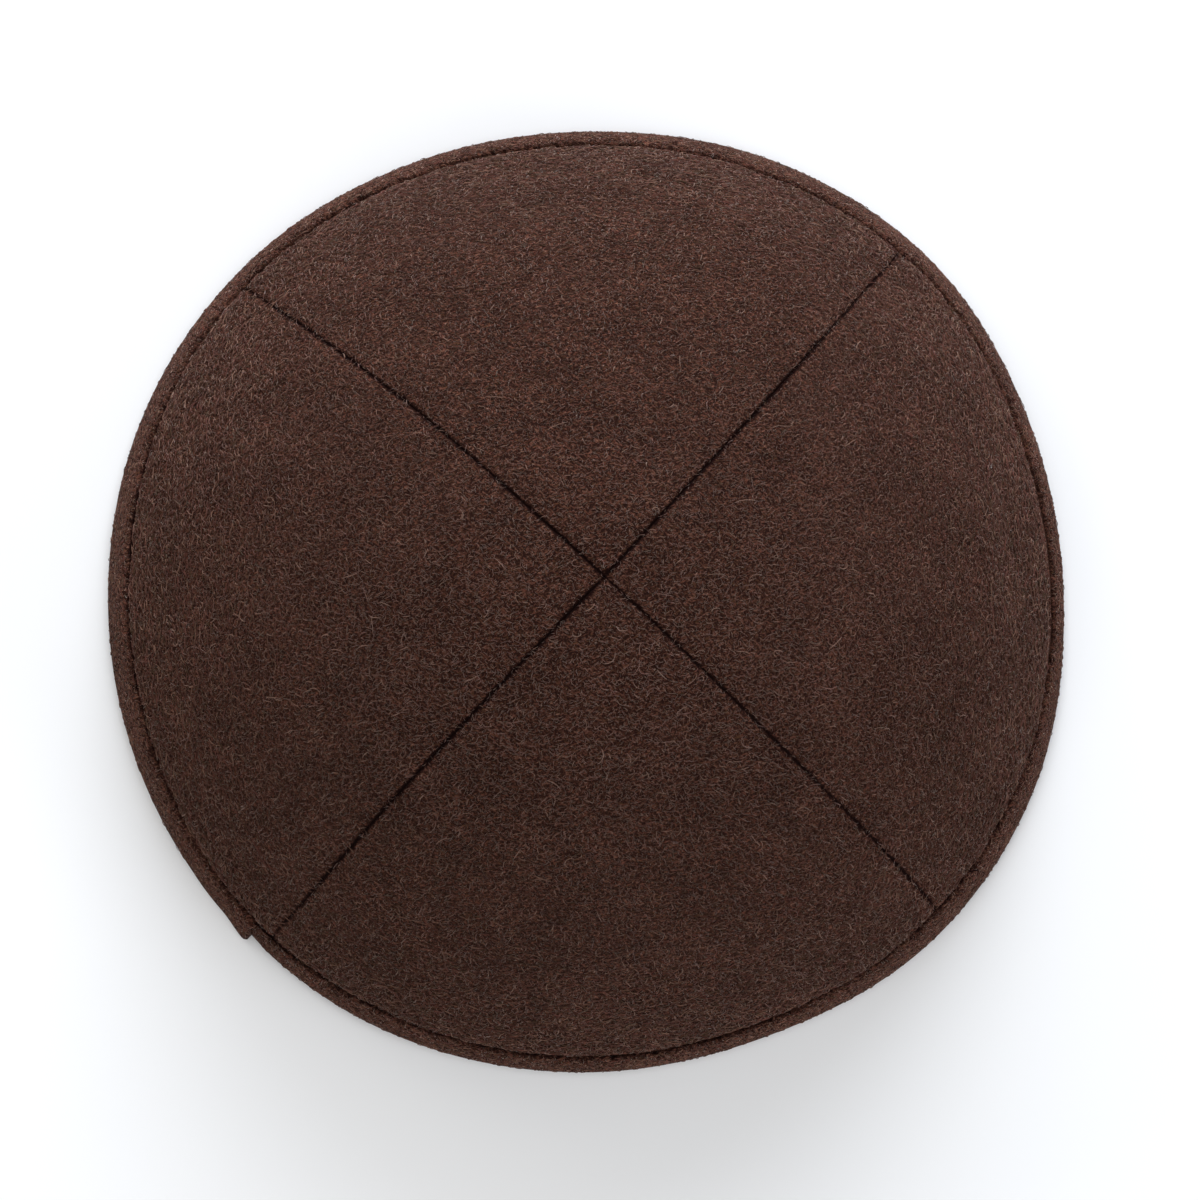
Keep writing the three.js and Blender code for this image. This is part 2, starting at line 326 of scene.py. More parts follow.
def cloth_slab(name, columns, rows, place):
    """A closed sheet of cloth.

    place takes arrays of columns, of rows and of whether each corner is on the outer face.
    """
    bm = bmesh.new()
    bmesh.ops.create_grid(bm, x_segments=columns, y_segments=rows, size=1)
    faces = list(bm.faces)
    copy = bmesh.ops.duplicate(bm, geom=list(bm.verts) + list(bm.edges) + faces)["geom"]
    inner = [v for v in copy if isinstance(v, bmesh.types.BMVert)]
    bmesh.ops.reverse_faces(bm, faces=[f for f in copy if isinstance(f, bmesh.types.BMFace)])
    bmesh.ops.translate(bm, verts=inner, vec=(0, 0, -SIDES_APART))
    bmesh.ops.bridge_loops(bm, edges=[e for e in bm.edges if e.is_boundary])
    at = np.array([v.co for v in bm.verts])
    column = np.rint((at[:, 0] + 1) / 2 * columns).astype(int)
    row = np.rint((at[:, 1] + 1) / 2 * rows).astype(int)
    points, crease_shade = place(column, row, at[:, 2] > -SIDES_APART / 2)
    for vert, point in zip(bm.verts, points):
        vert.co = point
    bmesh.ops.recalc_face_normals(bm, faces=list(bm.faces))
    for face in bm.faces:
        face.smooth = True
    for edge in bm.edges:
        edge.smooth = edge.calc_face_angle(0) < CUT_ANGLE
    mesh = bpy.data.meshes.new(name)
    bm.to_mesh(mesh)
    bm.free()
    keep_values(mesh, "crease_shade", crease_shade)
    return link(name, mesh)


def keep_values(mesh, name, values):
    """Stores a value for each corner of a mesh, which its material reads by name."""
    mesh.attributes.new(name, "FLOAT", "POINT").data.foreach_set("value", values.astype(np.float32))


def link(name, mesh):
    piece = bpy.data.objects.new(name, mesh)
    bpy.context.scene.collection.objects.link(piece)
    return piece


def finish_piece(piece, material, slot, *nodes):
    """Gives a piece its material and its place in the frame; the named solids give way to it."""
    piece.data.materials.clear()
    piece.data.materials.append(material)
    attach(piece, "root")
    if nodes:
        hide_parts(*nodes)
    return piece


def graded(steps, last, spacing):
    """Distances that start with the given close steps and go on evenly to the last."""
    more = max(1, int(round((last - steps[-1]) / spacing)))
    return np.concatenate([steps, mix(steps[-1], last, np.arange(1, more + 1) / more)])


SEAM_STEPS = np.array([0, 0.12, 0.25, 0.4, 0.7, 1.2, 1.9, 2.8]) * MM
ROW_STEPS = np.array([-0.5, -0.1, 0.1, 0.3, 0.6, 1.0, 1.5, 2.1, 3.0]) * MM
PANEL_CELL = 2.1 * MM
CROSSING = 0.15 * MM  # radius at which the panels' tips end
MARGIN_MOST = 0.45  # share of a panel's width that the close columns at each seam may take
LEVEL_AFTER = 1 / 3  # share of the way up past which the rows no longer follow the band's edge


def crown_panel(panel):
    """A panel of the crown, with close rows by the band and close columns by its seams."""
    start_low, stop_low = panel_edges(panel, EDGE_SLANT)
    widest = math.radians(stop_low - start_low) * RIM_RADIUS
    half = graded(SEAM_STEPS, widest / 2, PANEL_CELL) / (widest / 2)
    across_shares = np.concatenate([half, 2 - half[-2::-1]]) / 2
    margin = SEAM_STEPS[-1]
    margin_share = half[len(SEAM_STEPS) - 1] / 2
    rises = graded(ROW_STEPS, CROWN_RISE - CROSSING - BAND_RISE, PANEL_CELL)

    def place(column, row, outer):
        share = across_shares[column]
        near_share = np.minimum(share, 1 - share)
        upward = rises[np.maximum(row - 1, 0)]
        to_top = np.clip((upward - ROW_STEPS[-1]) / (rises[-1] - ROW_STEPS[-1]), 0, 1)
        foot = mix(band_line(mix(start_low, stop_low, share)), BAND_RISE, ease(to_top / LEVEL_AFTER))
        rise = np.where(row == 0, 0, foot + upward)
        slant = EDGE_SLANT - rise / DOME
        start, stop = panel_edges(panel, slant)
        reach = DOME * np.sin(slant)
        gap = np.degrees(np.arcsin(SEAM_GAP / 2 / reach))
        width = np.radians(stop - start - 2 * gap) * reach
        squeeze = np.minimum(1, MARGIN_MOST * width / margin)
        inside = (near_share - margin_share) / (0.5 - margin_share)
        close = near_share * widest * squeeze
        near = np.where(near_share <= margin_share, close, mix(margin * squeeze, width / 2, inside))
        across = np.where(share < 0.5, near, width - near)
        direction = start + gap + np.degrees(across / reach)
        above = rise - band_line(direction)
        from_seam, strength = seam_values(panel, across, width - across, rise, above)
        top = crown_depth(direction, rise, from_seam, strength)
        doubled = (from_seam < ALLOWANCE_WIDTH) & (rise > BAND_RISE)
        under = dip_at(direction, rise) + WALL + np.where(doubled, ALLOWANCE_THICKNESS, 0)
        # Painted shade along the band's stitched line, under the upper end's tip and down the seams
        line = line_strength(direction)
        line = line * (1 - above / mix(*LINE_SHADE_REACH, line))
        tip_shade = bell(turn_between(LAP_DIRECTION + TIP_SHADE_AT, direction) / TIP_SHADE_REACH)
        line = line * (1 + TIP_SHADE * tip_shade)
        crease_shade = np.maximum(strength * (1 - from_seam / SEAM_SHADE_REACH), np.maximum(line, 0)) * outer
        return on_dome(direction, slant, np.where(outer, top, under)), crease_shade

    return cloth_slab(panel + "_wool", len(across_shares) - 1, len(rises), place)


# Rows across the tape, from the top of the inner leg, under the fold and up to the top of the outer leg:
# the side, the share of the leg's height (None on the underside), the drop below the leg's top in mm, the
# share of the tape's thickness there, and its share of the painted shade in the band line's crease
TAPE_ROWS = (
    (-1, 1.0, 0.0, 0.35, 0.0),
    (-1, 1.0, 0.6, 0.9, 0.0),
    (-1, 0.4, 0.0, 1.0, 0.0),
    (-1, 0.0, 0.0, 0.97, 0.0),
    (-1, None, 0.0, 0.8, 0.0),
    (-1, None, 0.0, 0.35, 0.0),
    (1, None, 0.0, 0.35, 0.0),
    (1, None, 0.0, 0.8, 0.0),
    (1, 0.0, 0.0, 0.98, 0.0),
    (1, 0.3, 0.0, 1.05, 0.0),
    (1, 1.0, 1.9, 0.98, 0.0),
    (1, 1.0, 1.1, 0.82, 0.0),
    (1, 1.0, 0.6, 0.62, 0.1),
    (1, 1.0, 0.28, 0.38, 0.55),
    (1, 1.0, 0.1, 0.22, 0.85),
    (1, 1.0, 0.0, 0.04, 1.0),
)
OUTER_LEG = [row for row in reversed(TAPE_ROWS) if row[0] == 1 and row[1] == 1.0]
STITCH_STEPS = 4
STITCH_PULL = (0.1, 1)  # how hard the stitches pull the tape down, from the slackest to the tightest
STITCH_REACH = 0.9 * MM
STITCH_DEPTH = 0.6  # share of the tape's thickness by which a tight stitch presses it in
# Painted shade in a stitch's pit, added as a share of the line's strength
STITCH_SHADE = 0.45
SEATING = 0.06 * MM  # between the tape and what it lies on
LAP_SHARE = 0.45  # thickness of the tape where it is lapped
LOWER_PRESS = 0.1  # and how much thinner still its lower end is pressed
QUICK_RISE = 0.4  # share of the lower end's rise that comes within one ramp; the rest takes SLOW_RAMPS
SLOW_RAMPS = 4
TIP_REACH = 1.1 * MM  # how far the upper end runs on past the middle of the lap
TIP_LIFT = 0.6 * MM
TIP_LIFT_LENGTH = 6.5 * MM
TIP_LIFT_LEAST = 0.3  # share of the lift at the tape's upper edge
TIP_BACK = 1 * MM  # length over which the tip's upper corner is cut back, by TIP_SLOPE times as much
TIP_SLOPE = 1.2
END_ROUND = 0.8 * MM  # length over which the tape thins at its end, to the square root of END_LEAST
END_LEAST = 0.1
TUCK = 0.8 * MM  # the upper end reaches this far above the lower one, down onto the crown
FOLD_ROUND = (1.2 * MM, 0.3 * MM)  # rounding of the fold, outside and inside
FOLD_SIDE = 0.35  # shares of that rounding at which the underside's outermost corners lie, in and up
FOLD_UP = 0.3

LAP = float(np.degrees(LAP_LENGTH / RIM_RADIUS))
RAMP = float(np.degrees(LAP_RAMP / RIM_RADIUS))
BAND_END = LAP_DIRECTION + FULL_TURN + float(np.degrees(TIP_REACH / RIM_RADIUS))
FULL_TAPE = BAND_STAND - SEATING
LOWER_END = (LAP_SHARE - LOWER_PRESS) * FULL_TAPE + SEATING


def tape_lie(station, drop):
    """How the tape lies by its lap, at a station and at a drop below the tape's upper edge.

    A station is a direction that runs on past a full turn. Returned are how far the tape goes under and over
    its other end, its share of full thickness, how far it has climbed onto that end, and its height above the
    crown.
    """
    from_lap = (station - LAP_DIRECTION) / RAMP
    under = 1 - QUICK_RISE * ease(from_lap) - (1 - QUICK_RISE) * ease(from_lap / SLOW_RAMPS)
    over = ease((station - (BAND_END - LAP - RAMP)) / RAMP)
    thin = mix(1, LAP_SHARE - LOWER_PRESS * under, np.maximum(under, over))
    from_end = np.radians(BAND_END - station) * RIM_RADIUS
    climb = ease(drop / TUCK)
    lift = TIP_LIFT * ease(1 - from_end / TIP_LIFT_LENGTH) * mix(TIP_LIFT_LEAST, 1, climb)
    return under, over, thin, climb, SEATING + over * LOWER_END * climb + lift


def rim_band():
    """The folded tape, from its lower end round to the upper one."""
    start = LAP_DIRECTION - LAP
    columns = int(round(math.radians(BAND_END - start) * RIM_RADIUS / STITCH_PITCH)) * STITCH_STEPS
    side = np.array([r[0] for r in TAPE_ROWS])
    under_fold = np.array([r[1] is None for r in TAPE_ROWS])
    up = np.array([r[1] or 0 for r in TAPE_ROWS])
    drop = np.array([r[2] for r in TAPE_ROWS]) * MM
    swell = np.array([r[3] for r in TAPE_ROWS])
    crease_shade_share = np.array([r[4] for r in TAPE_ROWS])
    pull = np.random.default_rng(SEED).uniform(*STITCH_PULL, columns // STITCH_STEPS + 1)

    def place(column, row, outer):
        inside = side[row] < 0
        leg_top = ~inside & ~under_fold[row] & (up[row] > 0.9)
        station = mix(start, BAND_END, column / columns)
        from_end = (columns - column) * STITCH_PITCH / STITCH_STEPS
        tip_back = np.where(from_end < TIP_BACK, (TIP_BACK - from_end) * TIP_SLOPE * up[row] ** 3, 0)
        direction = station - np.degrees(tip_back / RIM_RADIUS)
        under, over, thin, climb, base = tape_lie(station, np.where(leg_top, drop[row], TUCK))
        rounded = np.sqrt(np.clip(1 - (1 - from_end / END_ROUND) ** 2, END_LEAST, 1))
        rounded = np.where(from_end > END_ROUND, 1, rounded)
        notch = 0.5 + 0.5 * np.cos(2 * math.pi * column / STITCH_STEPS)
        notch = notch * pull[(column + STITCH_STEPS // 2) // STITCH_STEPS]
        notch = notch * leg_top * np.clip(1 - drop[row] / STITCH_REACH, 0, 1)
        strength = line_strength(direction)
        stand = base + FULL_TAPE * thin * swell[row] * rounded * (1 - STITCH_DEPTH * notch * strength)
        bottom = base * 0.5 + over * LOWER_END * climb * 0.5
        stand = np.where(outer, stand, bottom)
        depth = np.where(inside, WALL + stand, -stand)
        foot = under * LOWER_END + np.where(outer, 0, FULL_TAPE * thin)
        rounding = np.where(outer, FOLD_ROUND[0] * thin, FOLD_ROUND[1])
        foot_slant = slant_at_height(foot + rounding, depth)
        line_slant = EDGE_SLANT - (band_line(direction) - PIT_LENGTH * notch) / DOME
        inner_slant = slant_at_height(0, depth) - INNER_LEG / DOME
        top_slant = np.where(inside, inner_slant, line_slant) + (drop[row] + TUCK * under) / DOME
        slant = mix(foot_slant, top_slant, up[row])
        outermost = swell[row] > 0.5
        turn_in = np.where(outermost, FOLD_SIDE, 1.0) * rounding
        below = foot + np.where(outermost, FOLD_UP, 0.0) * rounding
        widest = np.where(outer, base + FULL_TAPE * thin * rounded, bottom)
        under_depth = np.where(inside, WALL + widest - turn_in, turn_in - widest)
        depth = np.where(under_fold[row], under_depth, depth)
        slant = np.where(under_fold[row], slant_at_height(below, under_depth), slant)
        # Painted shade on the rows by the band's stitched line and in each stitch's pit
        crease_shade = strength * (crease_shade_share[row] + STITCH_SHADE * notch) * outer
        return on_dome(direction, slant, depth), crease_shade

    return cloth_slab("rim_band_wool", columns, len(TAPE_ROWS) - 1, place)


# Fibres

SPINDLE_CORNER = (0.5, 0.87)  # how far in and to the side the lower corners lie, as shares of half the width
TOP_REACH = 0.005  # least reach and slant at the very top, where directions run together
TOP_SLANT = 0.002
SEAM_CLEARANCE = 1.1  # of a fibre from a seam, up to this many half widths of the seam's line
LINE_CLEARANCE = (-0.3 * MM, 0.05 * MM)  # from the band's line, of fibres that may cross it and of the rest
EVEN_STEPS = (0.7548776662, 0.5698402909)  # steps of a sequence that fills a square evenly
EVEN_JITTER = 0.3  # by which each place strays, as a share of the distance between neighbours
LOWEST_RISE = 0.7  # share of the band's rise at which the panels' fibres begin
LOOSE_ACROSS = (0.05, 0.95)
BAND_FOOT = 1.2 * MM  # height of the lowest fibres on the band
BAND_EDGE = 0.3 * MM
BAND_TUCK = 0.06 * MM
BAND_CLEARANCE = (-0.15 * MM, 0.1 * MM)
BAND_FULLEST = (3.5 * MM, 1.04)  # drop at which the tape is thickest, and its share of full thickness there


def spindles(path, width):
    """Corners and three-cornered faces of curled fibres, each a closed spindle along its row of points."""
    count, knots, _ = path.shape
    outward = path[:, 1] - np.array([0, 0, DOME_CENTRE])
    outward /= np.linalg.norm(outward, axis=1, keepdims=True)
    half = width[:, None] / 2
    corners = [path[:, 0]]
    for knot in range(1, knots - 1):
        side = np.cross(outward, path[:, knot + 1] - path[:, knot - 1])
        side /= np.linalg.norm(side, axis=1, keepdims=True) + 1e-12
        corners.append(path[:, knot] + outward * half)
        low = path[:, knot] - outward * half * SPINDLE_CORNER[0]
        corners.append(low + side * half * SPINDLE_CORNER[1])
        corners.append(low - side * half * SPINDLE_CORNER[1])
    corners.append(path[:, -1])
    each = 3 * (knots - 2) + 2
    ring = ((1, 2), (2, 3), (3, 1))
    faces = [(0, b, a) for a, b in ring]
    for low in range(0, each - 5, 3):
        for a, b in ring:
            faces += [(a + low, b + low, b + low + 3), (a + low, b + low + 3, a + low + 3)]
    faces += [(a + each - 5, b + each - 5, each - 1) for a, b in ring]
    every = (np.arange(count)[:, None, None] * each + np.array(faces)[None]).reshape(-1, 3)
    return np.stack(corners, axis=1).reshape(-1, 3), every, each


def fibre_mesh(name, parts):
    """Joins fibres into one mesh. Each part holds their rows of points, their widths and their tones."""
    corners, faces, tones, first = [], [], [], 0
    for path, width, tone in parts:
        verts, every, each = spindles(path, width)
        corners.append(verts)
        faces.append(every + first)
        tones.append(np.repeat(tone, each))
        first += len(verts)
    corners, faces, tones = np.concatenate(corners), np.concatenate(faces), np.concatenate(tones)
    mesh = bpy.data.meshes.new(name)
    mesh.vertices.add(len(corners))
    mesh.vertices.foreach_set("co", corners.astype(np.float32).ravel())
    mesh.loops.add(faces.size)
    mesh.loops.foreach_set("vertex_index", faces.astype(np.int32).ravel())
    mesh.polygons.add(len(faces))
    mesh.polygons.foreach_set("loop_start", np.arange(0, faces.size, 3, dtype=np.int32))
    mesh.update(calc_edges=True)
    mesh.shade_smooth()
    keep_values(mesh, "tone", tones)
    return link(name, mesh)


def curl(rng, length, knots, bend, bias):
    """Offsets along X and Y of the points of curling fibres, from each fibre's middle."""
    count = len(length)
    turn = rng.normal(0, bend, count)
    heading = rng.uniform(0, 2 * math.pi, count)
    points = [np.zeros((count, 2))]
    for _ in range(knots - 1):
        step = np.stack([np.cos(heading), np.sin(heading) * bias], axis=1)
        step *= (length / (knots - 1) / np.sqrt((1 + bias**2) / 2))[:, None]
        points.append(points[-1] + step)
        heading = heading + turn * rng.uniform(0.3, 1.5, count)
    points = np.stack(points, axis=1)
    return points - points.mean(axis=1, keepdims=True)


def lie_on_panel(panel, rng, direction, slant, length, knots, bend, lift):
    """Points of fibres that lie on a panel, and which of them stay clear of the seams and the band."""
    side = np.abs(np.cos(np.radians(direction))) * np.sin(slant) / math.sin(EDGE_SLANT)
    offset = curl(rng, length, knots, bend, mix(WEFT_BIAS, SIDE_BIAS, ease(side * 1.5 - 0.5)))
    angle = np.radians(direction)[:, None]
    around = offset[:, :, 1] * np.cos(angle) - offset[:, :, 0] * np.sin(angle)
    up = -offset[:, :, 0] * np.cos(angle) - offset[:, :, 1] * np.sin(angle)
    reach = DOME * np.maximum(np.sin(slant), TOP_REACH)
    directions = direction[:, None] + np.degrees(around / reach[:, None])
    slants = np.maximum(slant[:, None] - up / DOME, TOP_SLANT)
    rises = (EDGE_SLANT - slants) * DOME
    reaches = DOME * np.sin(slants)
    start, stop = panel_edges(panel, slants)
    from_start = np.radians(directions - start) * reaches
    from_stop = np.radians(stop - directions) * reaches
    above = rises - band_line(directions)
    from_seam, strength = seam_values(panel, from_start, from_stop, rises, above)
    depth = crown_depth(directions, rises, np.maximum(from_seam, SEAM_LINE), strength) - lift
    count = len(length)
    clear = np.minimum(from_start, from_stop).min(axis=1) > SEAM_LINE * rng.uniform(0, SEAM_CLEARANCE, count)
    clear |= rng.random(count) < CROSS_LINE
    keep = clear & (above.min(axis=1) > np.where(rng.random(count) < CROSS_LINE, *LINE_CLEARANCE))
    return on_dome(directions, slants, depth), keep


def tucked_lift(rng, count, knots):
    """Heights of the points of fibres above the cloth, with most of the ends tucked in."""
    lift = rng.uniform(*FIBRE_LIFT, (count, knots))
    lift[:, 0] = -TUCK_DEPTH
    lift[:, -1] = np.where(rng.random(count) < TUCKED, -TUCK_DEPTH, lift[:, -1] * 1.5)
    return lift


def even_shares(rng, count):
    """Two shares for each of many places, spread more evenly than by chance."""
    steps = np.arange(count)[:, None] * EVEN_STEPS + rng.random(2)
    return np.mod(steps + rng.normal(0, EVEN_JITTER / math.sqrt(count), (count, 2)), 1).T


def panel_fibres(panel, rng):
    """The nap of a panel: shorter and straighter at the crossing, longer and curlier by the band."""
    parts = []
    lowest = math.cos(EDGE_SLANT - BAND_RISE * LOWEST_RISE / DOME)
    kinds = zip(FIBRES_PER_PANEL, (FIBRE_LENGTH, LONG_FIBRE), FIBRE_KNOTS, FIBRE_CROWDING)
    for count, lengths, knots, crowding in kinds:
        down, across = even_shares(rng, count)
        slant = np.arccos(mix(lowest, 1, down ** crowding))
        direction = mix(*panel_edges(panel, slant), across)
        outward = ease(slant / EDGE_SLANT)
        length = rng.uniform(*lengths, count) * mix(*LENGTH_CHANGE, outward)
        lift = tucked_lift(rng, count, knots) * mix(*LIFT_CHANGE, outward)[:, None]
        bend = mix(*FIBRE_BEND, outward)
        path, keep = lie_on_panel(panel, rng, direction, slant, length, knots, bend, lift)
        width = rng.uniform(*FIBRE_WIDTH, count) * mix(*WIDTH_CHANGE, outward)
        parts.append((path[keep], width[keep], rng.random(keep.sum())))
    return fibre_mesh(panel + "_fibres", parts + [loose_fibres(panel, rng)])


def band_fibres(rng):
    """The nap of the tape's outer leg."""
    count = FIBRES_ON_BAND
    around, up = even_shares(rng, count)
    station = BAND_END - FULL_TURN * around
    knots = FIBRE_KNOTS[1]
    length = rng.uniform(*FIBRE_LENGTH, count) * BAND_LENGTH_CHANGE
    offset = curl(rng, length, knots, BAND_BEND, np.ones(count))
    foot = (EDGE_SLANT - float(slant_at_height(BAND_FOOT, -BAND_STAND))) * DOME
    rise = mix(foot, band_line(station) - BAND_EDGE, up)
    stations = station[:, None] + np.degrees(offset[:, :, 0] / RIM_RADIUS)
    rises = rise[:, None] + offset[:, :, 1] * BAND_SQUEEZE
    drops = band_line(stations) - rises
    thin, climb, base = tape_lie(stations, drops)[2:]
    drop_steps = [row[2] * MM for row in OUTER_LEG] + [BAND_FULLEST[0]]
    swells = [row[3] for row in OUTER_LEG] + [BAND_FULLEST[1]]
    stand = base + FULL_TAPE * thin * np.interp(drops, drop_steps, swells)
    lift = rng.uniform(0, BAND_LIFT, (count, knots))
    lift[:, [0, -1]] = -BAND_TUCK
    clear = drops.min(axis=1) > np.where(rng.random(count) < CROSS_LINE, *BAND_CLEARANCE)
    keep = clear & (stations.max(axis=1) < BAND_END) & (rises.min(axis=1) > foot)
    path = on_dome(stations, EDGE_SLANT - rises / DOME, -stand - lift)
    width = rng.uniform(*FIBRE_WIDTH, count) * BAND_WIDTH_CHANGE
    return fibre_mesh("rim_band_fibres", [(path[keep], width[keep], rng.random(keep.sum()))])


def thread_end():
    """The end of the sewing thread that hooks out of the band's line at the front right."""
    direction, drop, height = np.array(THREAD_END).T
    slant = EDGE_SLANT - (band_line(direction) - drop * MM) / DOME
    path = on_dome(direction, slant, -height * MM)
    return fibre_mesh("rim_band_thread_end", [(path[None], np.array([THREAD_WIDTH]), np.zeros(1))])


def loose_fibres(panel, rng):
    """Paler fibres that have worked loose."""
    count = LOOSE_FIBRES // len(PANELS)
    slant = np.arccos(rng.uniform(math.cos(EDGE_SLANT - BAND_RISE / DOME), 1, count))
    direction = mix(*panel_edges(panel, slant), rng.uniform(*LOOSE_ACROSS, count))
    length = rng.uniform(*LOOSE_LENGTH, count)
    lift = rng.uniform(*LOOSE_LIFT, (count, LOOSE_KNOTS))
    lift[:, 0] = 0
    path, keep = lie_on_panel(panel, rng, direction, slant, length, LOOSE_KNOTS, LOOSE_BEND, lift)
    width = rng.uniform(*FIBRE_WIDTH, count)
    return path[keep], width[keep], rng.uniform(*LOOSE_TONES, keep.sum())


# Materials

WOOL_ROUGHNESS = 0.95
FIBRE_ROUGHNESS = 0.8
FIBRE_GLOSS = 0.25
THREAD_GLOSS = 0.05
SHEEN_ROUGHNESS = 0.22


def empty_material(name):
    """A new material and its tree of nodes, with nothing in it yet."""
    material = bpy.data.materials.new(name)
    material.use_nodes = True
    material.node_tree.nodes.clear()
    return material, material.node_tree


def add_node(tree, kind, **settings):
    """A node whose settings are values of its sockets or, failing those, its own properties."""
    node = tree.nodes.new(kind)
    for key, value in settings.items():
        if key in node.inputs:
            node.inputs[key].default_value = value
        else:
            setattr(node, key, value)
    return node


def calculate(tree, operation, *values):
    """A maths node; each value is a number or another node's output."""
    node = tree.nodes.new("ShaderNodeMath")
    node.operation = operation
    for socket, value in zip(node.inputs, values):
        if isinstance(value, bpy.types.NodeSocket):
            tree.links.new(value, socket)
        else:
            socket.default_value = value
    return node.outputs[0]


def remap(tree, value, low, high, to_low=0.0, to_high=1.0):
    """Stretches a value smoothly from one range onto another."""
    node = tree.nodes.new("ShaderNodeMapRange")
    node.interpolation_type = "SMOOTHSTEP"
    for name, number in (("From Min", low), ("From Max", high), ("To Min", to_low), ("To Max", to_high)):
        node.inputs[name].default_value = number
    tree.links.new(value, node.inputs["Value"])
    return node.outputs["Result"]


def palette(tree, factor, stops):
    """The colour at a factor from 0 to 1 along a row of places and colours."""
    node = tree.nodes.new("ShaderNodeValToRGB")
    while len(node.color_ramp.elements) < len(stops):
        node.color_ramp.elements.new(0.5)
    for element, (place, colour) in zip(node.color_ramp.elements, stops):
        element.position = place
        element.color = (*colour, 1)
    tree.links.new(factor, node.inputs["Fac"])
    return node.outputs["Color"]


def blend(tree, factor, first, second):
    """Mixes two colours, each given as numbers or as another node's output."""
    node = tree.nodes.new("ShaderNodeMix")
    node.data_type = "RGBA"
    tree.links.new(factor, node.inputs[0])
    for socket, value in ((node.inputs[6], first), (node.inputs[7], second)):
        if isinstance(value, bpy.types.NodeSocket):
            tree.links.new(value, socket)
        else:
            socket.default_value = (*value, 1)
    return node.outputs[2]


# Colours of the wool and of its single fibres: a brown from dark to pale, with some olive and some rust
# Painted shade in the gaps of the matted pile, between its strokes
PILE_SHADE_COLOUR = (0.021, 0.009, 0.0068)
# Painted shade down in the creases of the seams and of the band's line
CREASE_SHADE_COLOUR = (0.0115, 0.0042, 0.0034)
THREAD_COLOUR = (0.008, 0.003, 0.003)
SHEEN_TINT = (0.8, 0.74, 0.72)
FIBRE_TINT = (0.8, 0.7, 0.64)
FIBRE_COLOURS = (
    (0, (0.0461, 0.0148, 0.00905)),
    (0.14, (0.0787, 0.0322, 0.0202)),
    (0.26, (0.0615, 0.0334, 0.0143)),
    (0.38, (0.0973, 0.0424, 0.0275)),
    (0.5, (0.0904, 0.0242, 0.0161)),
    (0.6, (0.125, 0.0578, 0.0398)),
    (0.7, (0.0856, 0.0334, 0.0256)),
    (0.78, (0.125, 0.0401, 0.0282)),
    (0.86, (0.156, 0.0827, 0.0525)),
    (0.93, (0.211, 0.111, 0.0765)),
    (1, (0.0571, 0.021, 0.0123)),
)


# Strokes of the matted fibres: turn in degrees, shift, fineness, and share of the pile's height
GRAINS = ((25, (0, 0, 0), 1.0, 1.0), (-40, (0.3, 0.2, 0.1), 0.85, 0.8), (80, (0.1, 0.4, 0.3), 1.1, 0.6))
GRAIN_DETAIL = 0.5
CROWN_FINENESS = 4800  # of the strokes on the crown and on the band, per metre across the finest
BAND_FINENESS = 4000
GRAIN_EDGE = (0.53, 0.66)  # values of the noise at which a stroke begins and is full
STROKE_STRETCH = (3.5, 1, 1.8)
STROKE_ROUGHNESS = 0.6
STROKE_DISTORTION = 0.5
# The same for the strokes of tone
TONE_GRAIN = (5, (0.7, 0.2, 0.9), 0.85)
TONE_DETAIL = 1.0
TONE_RANGE = (0.2, 0.8)
TONE_OF_GRAIN = 0.13  # paler by this much on the second row of strokes
PATCH_SCALE = 90  # so patches are about 10 mm across
PATCH_DETAIL = 4
PATCH_ROUGHNESS = 0.7
PATCH_RANGE = (0.3, 0.7)
PATCH_SHADE = (0.86, 1.14)
# Ragged edge of the painted shade in the creases: fineness, and how much the noise and the fibres' tone eat
# into it
RAGGED_SCALE = 800
RAGGED_DETAIL = 2
RAGGED_ROUGHNESS = 0.75
RAGGED_BY_NOISE = 2.1
RAGGED_BY_TONE = 0.3
CREASE_SHADE_EDGE = (-0.85, -0.1)


def matted_group():
    """Short matted fibres: Cover is 1 on a fibre and 0 in the gaps, Tone differs from fibre to fibre."""
    group = bpy.data.node_groups.new("matted_fibres", "ShaderNodeTree")
    socket = group.interface.new_socket
    socket("Scale", in_out="INPUT", socket_type="NodeSocketFloat").default_value = CROWN_FINENESS
    for name in ("Cover", "Tone", "Height"):
        socket(name, in_out="OUTPUT", socket_type="NodeSocketFloat")
    entry = group.nodes.new("NodeGroupInput")
    out = group.nodes.new("NodeGroupOutput")
    join = group.links.new
    place = add_node(group, "ShaderNodeTexCoord").outputs["Object"]

    def strokes(turn, shift, finer, detail):
        """A noise drawn out in one direction."""
        moved = add_node(group, "ShaderNodeMapping", vector_type="TEXTURE", Location=shift)
        moved.inputs["Rotation"].default_value = (0, 0, math.radians(turn))
        moved.inputs["Scale"].default_value = STROKE_STRETCH
        join(place, moved.inputs["Vector"])
        grain = add_node(group, "ShaderNodeTexNoise", Detail=detail)
        grain.inputs["Roughness"].default_value = STROKE_ROUGHNESS
        grain.inputs["Distortion"].default_value = STROKE_DISTORTION
        join(moved.outputs["Vector"], grain.inputs["Vector"])
        join(calculate(group, "MULTIPLY", entry.outputs["Scale"], finer), grain.inputs["Scale"])
        return grain.outputs["Fac"]

    lines = [remap(group, strokes(*grain[:3], GRAIN_DETAIL), *GRAIN_EDGE) for grain in GRAINS]
    pile = lines[0]
    for line, grain in zip(lines[1:], GRAINS[1:]):
        pile = calculate(group, "MAXIMUM", pile, calculate(group, "MULTIPLY", line, grain[3]))
    join(pile, out.inputs["Height"])
    join(pile, out.inputs["Cover"])
    tone = remap(group, strokes(*TONE_GRAIN, TONE_DETAIL), *TONE_RANGE)
    join(calculate(group, "MULTIPLY_ADD", lines[1], TONE_OF_GRAIN, tone), out.inputs["Tone"])
    return group


